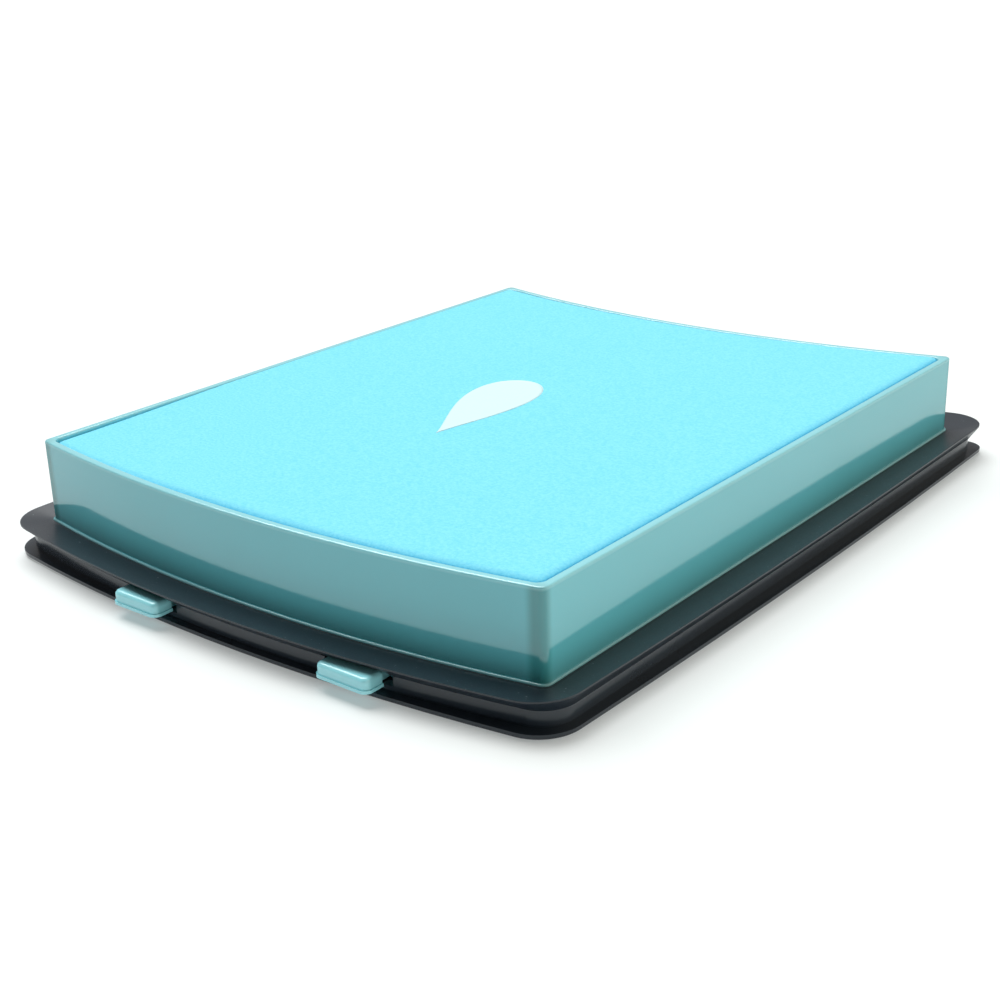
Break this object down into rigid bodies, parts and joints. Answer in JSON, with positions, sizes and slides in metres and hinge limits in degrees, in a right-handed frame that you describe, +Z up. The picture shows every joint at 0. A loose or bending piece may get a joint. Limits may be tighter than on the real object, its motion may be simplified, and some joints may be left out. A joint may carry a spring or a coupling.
{
  "type": "wet palette",
  "caption": "Wet palette: a shallow water tray filled by a foam pad, on a low base with a sealing rim and sprung push latches.",
  "frame": {"origin": "middle of the footprint, on the surface that the palette stands on", "axes": "+Z up; +Y from the latch side to the back, along the palette's long side; +X to the right for someone facing the latch side"},
  "size_m": [0.168, 0.2112, 0.028],
  "materials": {
    "tray_teal": "gloss",
    "foam_blue": "matte",
    "seal_rubber": "satin",
    "base_black": "satin",
    "screw_steel": "satin",
    "latch_teal": "gloss",
    "spring_steel": "satin",
    "foot_rubber": "matte"
  },
  "bodies": {
    "base": {"base_pan": "base_black", "base_deck": "base_black", "seal_lip": "seal_rubber", "base_screws": "screw_steel", "latch_spring_left": "spring_steel", "latch_spring_right": "spring_steel", "foot_front_left": "foot_rubber", "foot_front_right": "foot_rubber", "foot_back_left": "foot_rubber", "foot_back_right": "foot_rubber"},
    "latch_left": {"latch_button_left": "latch_teal"},
    "latch_right": {"latch_button_right": "latch_teal"},
    "tray": {"tray": "tray_teal"},
    "foam": {"foam_pad": "foam_blue"}
  },
  "joints": [
    {"name": "latch_left_press", "type": "slide", "parent": "base", "child": "latch_left", "axis": [0, 1, 0], "range_m": [0, 0.003], "stiffness_N_per_m": 300, "springref_m": -0.002, "deforming": ["latch_spring_left"]},
    {"name": "latch_right_press", "type": "slide", "parent": "base", "child": "latch_right", "axis": [0, 1, 0], "range_m": [0, 0.003], "stiffness_N_per_m": 300, "springref_m": -0.002, "deforming": ["latch_spring_right"]},
    {"name": "tray_lift", "type": "slide", "parent": "base", "child": "tray", "axis": [0, 0, 1], "range_m": [0, 0.045]},
    {"name": "foam_lift", "type": "slide", "parent": "tray", "child": "foam", "axis": [0, 0, 1], "range_m": [0, 0.03]}
  ]
}
